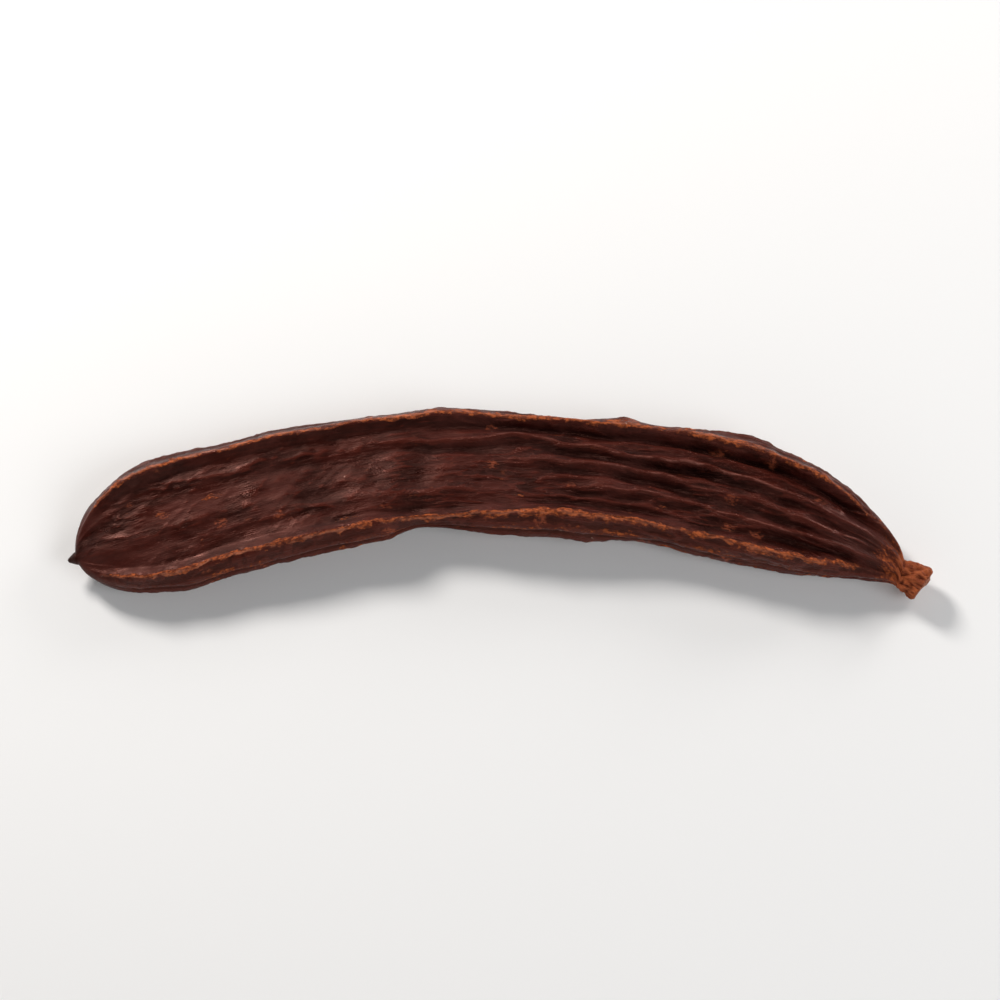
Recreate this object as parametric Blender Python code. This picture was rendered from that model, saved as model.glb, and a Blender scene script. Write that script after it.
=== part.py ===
"""A dried carob pod, whole, lying on its broad side.

The pod runs along X, with its beak at -X and its stalk at +X. Its sickle bend arches towards +Y,
so the far margin is the long, arched one. +Z is up, and the surface it lies on is Z = 0.
Each point of the skin is found by two numbers: how far it is along the pod's middle line, and
where it is on the walk round the pod's section, from the far margin over the upper face.
"""

import math
from collections import namedtuple

import bmesh
import bpy
import numpy as np
from mathutils import Vector, noise

MM = 0.001

# Driving dimensions, in millimetres
LENGTH = 176.0  # along the middle line, beak and stalk included
WIDE = 26.0  # across the faces, at the widest place
NARROW = 23.6  # across the faces, near the stalk
WIDEST_AT = 38.0
NARROW_AT = 130.0
FACE_THICKNESS = 6.5  # between the middles of the two faces
RIM_THICKNESS = 8.6  # between the crests of a margin
BEAK_LENGTH = 1.9
BEAK_FOOT_RADIUS = 1.3
BEAK_TIP_RADIUS = 0.6
BEAK_ROUND = 22.0  # length over which the beak end rounds off
BEAK_ASIDE = 0.13  # share of half the width by which the beak is off the middle
STALK_LENGTH = 8.0
STALK_RADIUS = 2.6
STALK_KNOB_RADIUS = 3.3
STALK_KNOB_AT = 2.7  # from the broken end
SCAR_DEPTH = 1.0  # the broken end is dished
SCAR_SLANT = 1.2  # how far it leans back on its near side
SCAR_ROUGH = 0.55
STALK_ROUND = 45.0  # length over which the stalk end rounds off
STALK_POINT = 1.15  # 1 rounds it as an ellipse, and more makes it pointed
STALK_ASIDE = 0.66  # share of half the width by which the stalk is off the middle
FILLET_POWER = 2.4  # lower makes the beak and the stalk run more softly into the pod

# How the pod bends, bows, twists and rests
BEND_DEG = 29.0
BEND_START, BEND_END = 12.0, 146.0
STALK_BEND_DEG = 13.0  # the stalk's own bend, the same way
BOW_HEIGHT = 1.5
BEAK_ROLL_DEG = 9.0
STALK_ROLL_DEG = 15.0
REST_PITCH_DEG = 0.32
REST_ROLL_DEG = -4.29
FOOT_DEPTH = 0.35  # how far the low points are pressed flat

# The two margins: raised lips with a seam between them and a gutter inside
RIM_PLACE = 0.84  # share of half the width at which a margin is thickest
RIM_SPREAD = 0.19
FAR_CREST, NEAR_CREST = 0.66, 0.36
CREST_HALF_WIDTH = 0.95
SEAM_DEPTH, SEAM_SHOULDER = 0.70, 0.32
GUTTER_INSIDE = 3.1  # from the crest to the bottom of the gutter
GUTTER_HALF_WIDTH = 1.4
GUTTER_DEPTH = 0.30
GUTTER_STALK_DEPTH = 0.25  # how much deeper it is in the stalk half
FAR_GUTTER_STALK_DEPTH = 1.20  # and how much more inside the far margin
STALK_HALF_START, STALK_HALF_END = 62.0, 112.0
FAR_WAVE, NEAR_WAVE = 0.55, 0.60  # how far the margins wave up and down
MARGIN_UNEVEN = 0.34  # and in and out
Nick = namedtuple("Nick", "side place depth reach")  # side is 1 for far, -1 for near
NICKS = (
    Nick(-1, 73.0, 2.3, 9.0),
    Nick(-1, 69.0, 0.7, 3.5),
    Nick(-1, 119.0, 0.6, 7.0),
    Nick(1, 98.0, 0.6, 9.0),
    Nick(1, 31.0, 0.5, 7.0),
)

# Folds that run down the faces. Across goes from -1 at the near margin to 1 at the far one.
Fold = namedtuple("Fold", "start end across_first across_last height half_width")
UPPER_FOLDS = (
    Fold(58, 166, 0.50, 0.26, 1.30, 0.92),
    Fold(82, 168, 0.14, -0.06, 0.95, 0.95),
    Fold(94, 164, -0.28, -0.34, 0.95, 0.92),
    Fold(18, 74, 0.42, 0.55, 0.34, 1.60),
    Fold(26, 92, -0.22, -0.44, 0.30, 1.70),
    Fold(120, 168, -0.58, -0.30, 0.50, 0.95),
)
LOWER_FOLDS = (
    Fold(40, 160, 0.42, 0.20, 0.55, 1.25),
    Fold(58, 165, -0.12, -0.20, 0.48, 1.30),
    Fold(90, 168, -0.46, -0.38, 0.50, 1.10),
    Fold(14, 66, 0.10, 0.30, 0.34, 1.60),
    Fold(20, 80, -0.48, -0.30, 0.36, 1.60),
)
FOLD_WANDER = 0.13
FOLD_FADE = 16.0  # length over which a fold rises and ends

# The seeds that show through the faces
SEED_FIRST, SEED_LAST, SEED_COUNT = 26.0, 148.0, 13
SEED_HEIGHT, SEED_RADIUS = 0.42, 3.3

# Uneven drying
BROAD_DENTS, SMALL_DENTS = 0.70, 0.38
WRINKLE_HEIGHT, WRINKLE_STALK_HEIGHT = 0.20, 0.36
WRINKLE_SPACING = 3.6
BEAK_CREASE_HEIGHT, BEAK_CREASES = 0.34, 7
STALK_CREASE_HEIGHT, STALK_CREASES = 0.42, 9
STALK_LUMP_HEIGHT, STALK_LUMP_SIZE = 0.75, 2.7

# The mesh: steps along the pod and round its section
STEPS_ALONG = 92
STEPS_ROUND = 64
FACE_SHARE = 0.355  # share of the steps round that lie on each face
CLOSER_AT_ENDS = 0.62  # 0 spaces the steps evenly, and near 1 crowds them at the ends


def ease(x, low, high):
    """0 below low, 1 above high, and a smooth step between."""
    t = np.clip((x - low) / (high - low), 0.0, 1.0)
    return t * t * (3.0 - 2.0 * t)


def swell(x, centre, width):
    """A rounded hump, 1 high, about width to each side of its centre."""
    return np.exp(-(((x - centre) / width) ** 2))


def round_off(x, reach):
    """A quarter of an ellipse, from 0 at x = 0 to 1 at x = reach."""
    t = np.clip(x / reach, 0.0, 1.0)
    return np.sqrt(1.0 - (1.0 - t) ** 2)


def join(*radii):
    """The largest of several radii, with a soft fillet where they meet."""
    return sum(r**FILLET_POWER for r in radii) ** (1.0 / FILLET_POWER)


def noise_at(points, seed):
    """Smooth noise, about -1 to 1, at each row of points, which are already scaled."""
    start = Vector((seed * 17.3, seed * 5.9, seed * 11.1))
    return np.array([noise.noise(Vector(p) + start) for p in points])


def along_noise(s, length, seed, side=0.37):
    """Noise that changes along the pod. Another side gives another run of it."""
    steady = np.zeros_like(s)
    return noise_at(np.column_stack([s / length, steady + side, steady]), seed)


def body_share(s):
    """1 on the flat body of the pod and 0 on the beak and the stalk."""
    from_beak = ease(s, BEAK_LENGTH, BEAK_LENGTH + 14.0)
    return from_beak * ease(LENGTH - s, STALK_LENGTH, STALK_LENGTH + 18.0)


def tapers(s, beak_reach, stalk_reach):
    """How the pod closes towards its two ends, a little more pointed at the stalk."""
    beak = round_off(s - BEAK_LENGTH, beak_reach)
    return beak * round_off(LENGTH - STALK_LENGTH - s, stalk_reach) ** STALK_POINT


def stalk_radius(s):
    """A short neck that flares to the knob where the pod broke from its branch."""
    left = LENGTH - s
    flare = (STALK_KNOB_RADIUS - STALK_RADIUS) * swell(left, STALK_KNOB_AT, 2.3)
    in_reach = ease(-left, -70.0, -25.0)
    return (STALK_RADIUS + flare) * round_off(left + 0.01, 2.2) * in_reach


def beak_radius(s):
    """The dry foot of the flower's style, a small cone."""
    cone = (BEAK_FOOT_RADIUS - BEAK_TIP_RADIUS) * ease(s, 0.3, BEAK_LENGTH)
    return (BEAK_TIP_RADIUS + cone) * round_off(s + 0.01, 0.8)


def half_width(s):
    """Half the distance between the two margins."""
    body = WIDE / 2 - (WIDE - NARROW) / 2 * ease(s, WIDEST_AT, NARROW_AT)
    body = body + 0.40 * along_noise(s, 17.0, 3) * body_share(s)
    pod = body * tapers(s, BEAK_ROUND, STALK_ROUND)
    return join(pod, beak_radius(s), stalk_radius(s))


def half_thickness(s):
    """Half the distance between the two faces, on the middle line."""
    pod = FACE_THICKNESS / 2 * tapers(s, BEAK_ROUND * 0.7, STALK_ROUND * 0.8)
    return join(pod, beak_radius(s), stalk_radius(s))


def side_shift(s):
    """How far the section's middle lies towards the near margin: the stalk leaves low."""
    taper = 1.0 - tapers(s, BEAK_ROUND, STALK_ROUND)
    to_stalk = ease(s, LENGTH / 2, LENGTH)
    aside = BEAK_ASIDE * (1.0 - to_stalk) + STALK_ASIDE * to_stalk
    return -taper * aside * NARROW / 2


def section_walk(share):
    """Where a share of the walk round a section lies on a square of side 2: (across, up)."""
    side = 0.5 - FACE_SHARE
    stops = np.cumsum([0.0, side / 2, FACE_SHARE, side, FACE_SHARE, side / 2])
    across = np.interp(share, stops, [1, 1, -1, -1, 1, 1])
    up = np.interp(share, stops, [0, 1, 1, -1, -1, 0])
    return across, up


def rounded_section(s, share):
    """The walk on the square, drawn in to a rounded one that is circular at the two ends."""
    across, up = section_walk(share)
    squareness = 0.9 + 0.8 * ease(across, -0.4, 0.4)  # the far margin is the blunter one
    power = 2.0 + squareness * body_share(s)
    reach = (np.abs(across) ** power + np.abs(up) ** power) ** (1.0 / power)
    return across / reach, up / reach, power


def margin_nicks(s, across):
    """The margins' uneven edges, and the shallow places where one has shrunk in."""
    far = ease(across, -0.15, 0.15)
    uneven = along_noise(s, 7.5, 14, far * 3.0) + 0.6 * along_noise(s, 3.4, 15, far * 3.0)
    total = MARGIN_UNEVEN * uneven * ease(np.abs(across), 0.6, 1.0) * body_share(s)
    for nick in NICKS:
        on_margin = ease(across * nick.side, 0.35, 1.0)
        total -= nick.depth * swell(s, nick.place, nick.reach) * on_margin
    return total


def rim_lines(s, across, up, a, b):
    """The raised lips along both margins, with the seam between them and the gutter inside."""
    far = ease(across, -0.15, 0.15)
    wander = 0.10 * along_noise(s, 11.0, 12, far * 3.0)
    inward = np.abs(up) - np.abs(across) + wander  # -1 on a margin's middle, 0 on its crest
    from_crest = np.where(inward < 0, inward * b * 1.25, inward * a)
    stalk_half = ease(s, STALK_HALF_START, STALK_HALF_END)
    uneven = 1.0 + 0.7 * along_noise(s, 9.0, 6, far * 3.0)
    height = NEAR_CREST + (FAR_CREST - NEAR_CREST) * far
    crest = height * swell(from_crest, 0.0, CREST_HALF_WIDTH) * uneven
    seam = SEAM_SHOULDER * swell(inward, -0.55, 0.2) - SEAM_DEPTH * swell(inward, -1.0, 0.22)
    deeper = GUTTER_STALK_DEPTH + FAR_GUTTER_STALK_DEPTH * far
    gutter = (GUTTER_DEPTH + deeper * stalk_half) * swell(
        from_crest, GUTTER_INSIDE, GUTTER_HALF_WIDTH
    )
    return (crest + seam - gutter) * body_share(s)


def face_folds(s, across, up, a):
    """Long folds that wander down each face and draw together towards the stalk."""
    total = np.zeros_like(s)
    face = ease(np.abs(up) - np.abs(across), 0.02, 0.3)
    for side, folds in ((1, UPPER_FOLDS), (-1, LOWER_FOLDS)):
        on_side = up * side > 0
        for number, fold in enumerate(folds):
            seed = 20 + 10 * side + number
            wander = FOLD_WANDER * (along_noise(s, 17.0, seed) + 0.45 * along_noise(s, 7.0, seed))
            moved = ease(s, fold.start, fold.end)
            place = fold.across_first + (fold.across_last - fold.across_first) * moved + wander
            there = ease(s, fold.start, fold.start + FOLD_FADE) * ease(fold.end - s, 0, FOLD_FADE)
            strength = 0.75 + 0.5 * along_noise(s, 24.0, seed + 50)
            offset = (across - place) * a / fold.half_width
            ridge = swell(offset, 0.0, 1.0) - 0.6 * swell(offset, -1.9, 1.0)
            total += on_side * there * strength * fold.height * ridge
    return total * face


def seed_bumps(s, across, up):
    """The low swellings over the seeds, which lie in a row along the pod."""
    total = np.zeros_like(s)
    pitch = (SEED_LAST - SEED_FIRST) / (SEED_COUNT - 1)
    for number in range(SEED_COUNT):
        place = SEED_FIRST + pitch * (number + 0.22 * math.sin(2.4 * number))
        height = SEED_HEIGHT * (0.75 + 0.35 * math.sin(1.7 * number + 0.6))
        aside = 0.10 * math.sin(3.1 * number)
        slant = s - 2.0 * across  # each seed leans a little
        total += height * swell(slant, place, SEED_RADIUS) * swell(across, aside, 0.42)
    return total * ease(np.abs(up), 0.3, 0.8)


def end_creases(s, across, up):
    """Short creases that spread from the beak and from the foot of the stalk."""
    turn = np.arctan2(up, across)
    from_beak = s - BEAK_LENGTH
    to_stalk = LENGTH - STALK_LENGTH - s
    beak = BEAK_CREASE_HEIGHT * ease(from_beak, 0.5, 4.0) * ease(-from_beak, -15.0, -5.0)
    stalk = STALK_CREASE_HEIGHT * ease(to_stalk, -4.0, 3.0) * ease(-to_stalk, -22.0, -6.0)
    beak_creases = beak * np.cos(BEAK_CREASES * turn + 0.4)
    return beak_creases + stalk * np.cos(STALK_CREASES * turn + 1.1)


def wavy_margins(s, across):
    """How the margins wave up and down as they dry, each in its own way."""
    far = FAR_WAVE * (along_noise(s, 21.0, 8) + 0.4 * along_noise(s, 8.0, 9))
    near = NEAR_WAVE * (along_noise(s, 25.0, 10) + 0.4 * along_noise(s, 9.0, 11))
    share = ease(across, -1.0, 1.0)
    return (far * share**2 + near * (1.0 - share) ** 2) * body_share(s)


def dents(s, y, z):
    """The uneven shrinking of the drying flesh, longer along the pod than across it."""
    broad = noise_at(np.column_stack([s / 26.0, y / 11.0, z / 9.0]), 1)
    small = noise_at(np.column_stack([s / 11.0, y / 5.0, z / 5.0]), 2)
    return (BROAD_DENTS * broad + SMALL_DENTS * small) * body_share(s)


def long_wrinkles(s, y, z):
    """Narrow lengthwise ridges in the skin, stronger towards the stalk."""
    wander = 1.4 * noise_at(np.column_stack([s / 20.0, y / 12.0, z / 12.0]), 5)
    rows = np.column_stack([s / 30.0, (y + wander) / WRINKLE_SPACING, z / WRINKLE_SPACING])
    ridge = 1.0 - 2.2 * np.abs(noise_at(rows, 4))
    strength = WRINKLE_HEIGHT + WRINKLE_STALK_HEIGHT * ease(s, 50.0, 125.0)
    return strength * ridge * body_share(s)


def stalk_lumps(s, y, z):
    """The knobbly bark of the stalk."""
    lumps = noise_at(np.column_stack([s, y, z]) / STALK_LUMP_SIZE, 7)
    on_stalk = ease(s, LENGTH - STALK_LENGTH - 3.0, LENGTH - STALK_LENGTH + 2.0)
    return STALK_LUMP_HEIGHT * lumps * on_stalk * ease(LENGTH - s, 0.0, 1.2)


def broken_end(s, across, y, z):
    """How far the stalk's end is set back: dished, slanted and rough."""
    rough = SCAR_ROUGH * noise_at(np.column_stack([y / 1.7, z / 1.7, 0.0 * s]), 16)
    dish = (SCAR_DEPTH + rough) * ease(s, LENGTH - 1.3, LENGTH)
    slant = SCAR_SLANT * 0.5 * (1.0 - across) * ease(s, LENGTH - STALK_LENGTH, LENGTH)
    return dish + slant


def middle_line(s):
    """The bent and bowed middle line at s: its points, and the level way across it there."""
    fine = np.linspace(0.0, LENGTH, 1500)
    heading = math.radians(BEND_DEG) * (0.5 - ease(fine, BEND_START, BEND_END))
    on_stalk = ease(fine, LENGTH - STALK_LENGTH - 3.0, LENGTH - 2.0)
    heading = heading - math.radians(STALK_BEND_DEG) * on_stalk
    step = fine[1] - fine[0]
    x = np.concatenate([[0.0], np.cumsum(np.cos(heading[1:]) * step)])
    y = np.concatenate([[0.0], np.cumsum(np.sin(heading[1:]) * step)])
    chord = math.atan2(y[-1], x[-1])
    level_x = x * math.cos(chord) + y * math.sin(chord)
    level_y = y * math.cos(chord) - x * math.sin(chord)
    z = BOW_HEIGHT * np.sin(np.pi * fine / LENGTH)
    points = np.column_stack([np.interp(s, fine, c) for c in (level_x, level_y, z)])
    turned = np.interp(s, fine, heading - chord)
    across = np.column_stack([-np.sin(turned), np.cos(turned), np.zeros_like(turned)])
    return points, across


def roll_at(s):
    """How far the upper face leans towards the near side, in radians."""
    beak = BEAK_ROLL_DEG * ease(-s, -70.0, -10.0)
    stalk = STALK_ROLL_DEG * ease(s, 95.0, 165.0)
    return np.radians(beak + stalk)


def skin(s, share):
    """The pod's surface, in millimetres, for arrays of places along it and round it."""
    a, b = half_width(s), half_thickness(s)
    across, up, power = rounded_section(s, share)
    rim_gain = RIM_THICKNESS / FACE_THICKNESS / RIM_PLACE - 1.0
    lip = 1.0 + rim_gain * swell(np.abs(across), RIM_PLACE, RIM_SPREAD) * body_share(s)
    y, z = a * across, b * up * lip
    out_y = np.sign(across) * np.abs(across) ** (power - 1.0) / a
    out_z = np.sign(up) * np.abs(up) ** (power - 1.0) / b
    out = np.hypot(out_y, out_z)
    relief = (
        rim_lines(s, across, up, a, b)
        + face_folds(s, across, up, a)
        + seed_bumps(s, across, up)
        + end_creases(s, across, up)
        + margin_nicks(s, across)
        + dents(s, y, z)
        + long_wrinkles(s, y, z)
        + stalk_lumps(s, y, z)
    )
    middle, to_far = middle_line(s - broken_end(s, across, y, z))
    y = y + side_shift(s) + relief * out_y / out
    z = z + relief * out_z / out + wavy_margins(s, across)
    roll = roll_at(s)[:, None]
    up_axis = np.array([0.0, 0.0, 1.0])
    far = to_far * np.cos(roll) + up_axis * np.sin(roll)
    top = up_axis * np.cos(roll) - to_far * np.sin(roll)
    return middle + far * y[:, None] + top * z[:, None]


def laid_down(points):
    """The points turned to the pod's resting pose, on Z = 0, with its low points pressed flat."""
    pitch, roll = math.radians(REST_PITCH_DEG), math.radians(REST_ROLL_DEG)
    x, y, z = points.T
    x, z = x * math.cos(pitch) - z * math.sin(pitch), x * math.sin(pitch) + z * math.cos(pitch)
    y, z = y * math.cos(roll) - z * math.sin(roll), y * math.sin(roll) + z * math.cos(roll)
    z = np.maximum(z - z.min() - FOOT_DEPTH, 0.0)
    x = x - (x.min() + x.max()) / 2
    y = y - (y.min() + y.max()) / 2
    return np.column_stack([x, y, z])


def pod_mesh():
    """A sphere whose rings become the pod's sections, from its beak to its stalk."""
    bm = bmesh.new()
    bmesh.ops.create_uvsphere(bm, u_segments=STEPS_ROUND, v_segments=STEPS_ALONG, radius=1.0)
    on_sphere = np.array([v.co for v in bm.verts])
    t = 1.0 - np.arccos(np.clip(on_sphere[:, 2], -1.0, 1.0)) / math.pi
    share = np.arctan2(on_sphere[:, 1], on_sphere[:, 0]) / (2 * math.pi) % 1.0
    s = LENGTH * (t - CLOSER_AT_ENDS * np.sin(2 * math.pi * t) / (2 * math.pi))
    for vertex, place in zip(bm.verts, laid_down(skin(s, share))):
        vertex.co = place * MM
    bmesh.ops.triangulate(bm, faces=bm.faces[:])
    bmesh.ops.recalc_face_normals(bm, faces=bm.faces[:])
    mesh = bpy.data.meshes.new("carob_pod")
    bm.to_mesh(mesh)
    bm.free()
    mesh.shade_smooth()
    return mesh


def skin_material():
    """Dark, red-brown dried skin with a soft gloss."""
    material = bpy.data.materials.new("pod_skin")
    material.use_nodes = True
    shader = material.node_tree.nodes["Principled BSDF"]
    shader.inputs["Base Color"].default_value = (0.050, 0.017, 0.012, 1.0)
    shader.inputs["Roughness"].default_value = 0.42
    shader.inputs["Metallic"].default_value = 0.0
    return material


def main():
    for old in list(bpy.data.objects):
        bpy.data.objects.remove(old)
    collection = bpy.data.collections.new("carob_pod")
    bpy.context.scene.collection.children.link(collection)
    mesh = pod_mesh()
    mesh.materials.append(skin_material())
    collection.objects.link(bpy.data.objects.new("carob_pod", mesh))


main()
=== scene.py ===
import math

import bmesh
import bpy
import numpy as np
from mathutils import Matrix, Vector, noise


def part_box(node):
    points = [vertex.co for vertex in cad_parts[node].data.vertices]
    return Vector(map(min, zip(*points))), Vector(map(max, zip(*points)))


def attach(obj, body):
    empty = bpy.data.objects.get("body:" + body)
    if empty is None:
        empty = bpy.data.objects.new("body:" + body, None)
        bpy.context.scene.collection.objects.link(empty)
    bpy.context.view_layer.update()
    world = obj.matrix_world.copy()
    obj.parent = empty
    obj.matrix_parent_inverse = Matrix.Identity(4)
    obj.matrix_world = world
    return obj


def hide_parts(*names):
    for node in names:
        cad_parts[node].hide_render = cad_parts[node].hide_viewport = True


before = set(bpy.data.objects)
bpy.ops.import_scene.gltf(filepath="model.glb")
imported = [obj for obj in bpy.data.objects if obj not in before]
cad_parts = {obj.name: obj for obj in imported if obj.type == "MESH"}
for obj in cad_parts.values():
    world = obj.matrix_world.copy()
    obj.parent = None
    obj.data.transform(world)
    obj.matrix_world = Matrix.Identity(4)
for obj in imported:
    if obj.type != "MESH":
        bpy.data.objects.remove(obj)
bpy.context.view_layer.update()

podLow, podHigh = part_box("carob_pod")
podCentre = (podLow + podHigh) / 2
podSpan = podHigh.x - podLow.x
mm = 0.001


# Camera

cameraLook = {
    "elevation": 72.0,  # degrees over the floor, so that the broad face is seen almost straight on
    "lens": 85.0,
    "podShare": 0.86,  # share of the picture's width that the pod takes
}


def aim(thing, place, target):
    thing.location = place
    thing.rotation_mode = "QUATERNION"
    thing.rotation_quaternion = (target - place).to_track_quat("-Z", "Y")


def makeCamera():
    data = bpy.data.cameras.new("podCamera")
    data.lens = cameraLook["lens"]
    camera = bpy.data.objects.new("podCamera", data)
    bpy.context.scene.collection.objects.link(camera)
    viewWidth = podSpan / cameraLook["podShare"]
    distance = viewWidth * data.lens / data.sensor_width
    tilt = math.radians(cameraLook["elevation"])
    away = Vector((0.0, -math.cos(tilt), math.sin(tilt)))
    aim(camera, podCentre + away * distance, podCentre)
    data.clip_start = 0.01
    bpy.context.scene.camera = camera
    print("camera: %.0f mm from the pod" % (distance / mm))


makeCamera()


# Node helpers

def makeNode(tree, kind, sockets=None, **settings):
    node = tree.nodes.new("ShaderNode" + kind)
    for name, value in settings.items():
        setattr(node, name, value)
    for name, value in (sockets or {}).items():
        if isinstance(value, bpy.types.NodeSocket):
            tree.links.new(value, node.inputs[name])
        else:
            node.inputs[name].default_value = value
    return node


def attribute(tree, name):
    return makeNode(tree, "Attribute", attribute_name=name)


def scaled(tree, vector, size):
    # a texture step of 1 becomes size, given along the pod, across it and up
    scale = tuple(1.0 / step for step in size)
    return makeNode(tree, "Mapping", {"Vector": vector, "Scale": scale}).outputs[0]


def noiseTexture(tree, vector, size, detail=3.0, roughness=0.55, distortion=0.0):
    sockets = {"Vector": scaled(tree, vector, size), "Scale": 1.0, "Detail": detail}
    sockets.update({"Roughness": roughness, "Distortion": distortion})
    return makeNode(tree, "TexNoise", sockets).outputs[0]


def ranged(tree, value, fromLow, fromHigh, toLow=0.0, toHigh=1.0):
    sockets = {"Value": value, "From Min": fromLow, "From Max": fromHigh}
    sockets.update({"To Min": toLow, "To Max": toHigh})
    node = makeNode(tree, "MapRange", sockets, interpolation_type="SMOOTHSTEP")
    return node.outputs[0]


def calc(tree, operation, first, second=0.0, third=0.0, clamp=False):
    sockets = {0: first, 1: second, 2: third}
    node = makeNode(tree, "Math", sockets, operation=operation, use_clamp=clamp)
    return node.outputs[0]


def blended(tree, factor, first, second, mode="MIX"):
    node = makeNode(tree, "Mix", data_type="RGBA", blend_type=mode)
    for socket, value in ((0, factor), (6, first), (7, second)):
        if isinstance(value, bpy.types.NodeSocket):
            tree.links.new(value, node.inputs[socket])
        else:
            node.inputs[socket].default_value = value
    return node.outputs[2]


def newMaterial(name):
    material = bpy.data.materials.new(name)
    material.use_nodes = True
    tree = material.node_tree
    return material, tree, tree.nodes["Principled BSDF"]


# Noise and curves

seedSteps = (17.3, 5.9, 11.1)  # how far apart the seeds lie in Blender's noise
marginApart = 3.0  # and the two margins


def ease(x, low, high):
    t = np.clip((x - low) / (high - low), 0.0, 1.0)
    return t * t * (3.0 - 2.0 * t)


def easeOff(x, low, high):
    return ease(-x, -high, -low)


def easeFrom(x, start, span):
    return ease(x, start + span[0], start + span[1])


def swell(x, centre, width):
    return np.exp(-(((x - centre) / width) ** 2))


def roundOff(x, reach):
    t = np.clip(x / reach, 0.0, 1.0)
    return np.sqrt(1.0 - (1.0 - t) ** 2)


def noiseAt(columns, seed):
    start = Vector([seed * step for step in seedSteps])
    return np.array([noise.noise(Vector(p) + start) for p in np.column_stack(columns)])


def alongNoise(s, length, seed, side=0.37):
    # many points share a place along the pod, and each place is worked out once
    pairs = np.column_stack([s, np.zeros_like(s) + side]).round(4)
    places, index = np.unique(pairs, axis=0, return_inverse=True)
    values = noiseAt([places[:, 0] / length, places[:, 1], np.zeros(len(places))], seed)
    return values[index.ravel()]


def marginNoise(s, far, length, seed):
    return alongNoise(s, length, seed, far * marginApart)


def solidNoise(s, y, z, size, seed):
    return noiseAt([s / size[0], y / size[1], z / size[2]], seed)


def strayingNoise(s, y, z, size, wander, seeds):
    # lengthwise, and straying to both sides
    amount, wanderSize = wander
    y = y + amount * solidNoise(s, y, z, wanderSize, seeds[0])
    return solidNoise(s, y, z, size, seeds[1])


def sharpLines(values, thinness, power=1.0):
    # 1 where the values pass through 0, falling off on both sides
    return np.clip(1.0 - thinness * np.abs(values), 0.0, 1.0) ** power


# Pod: the form

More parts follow.
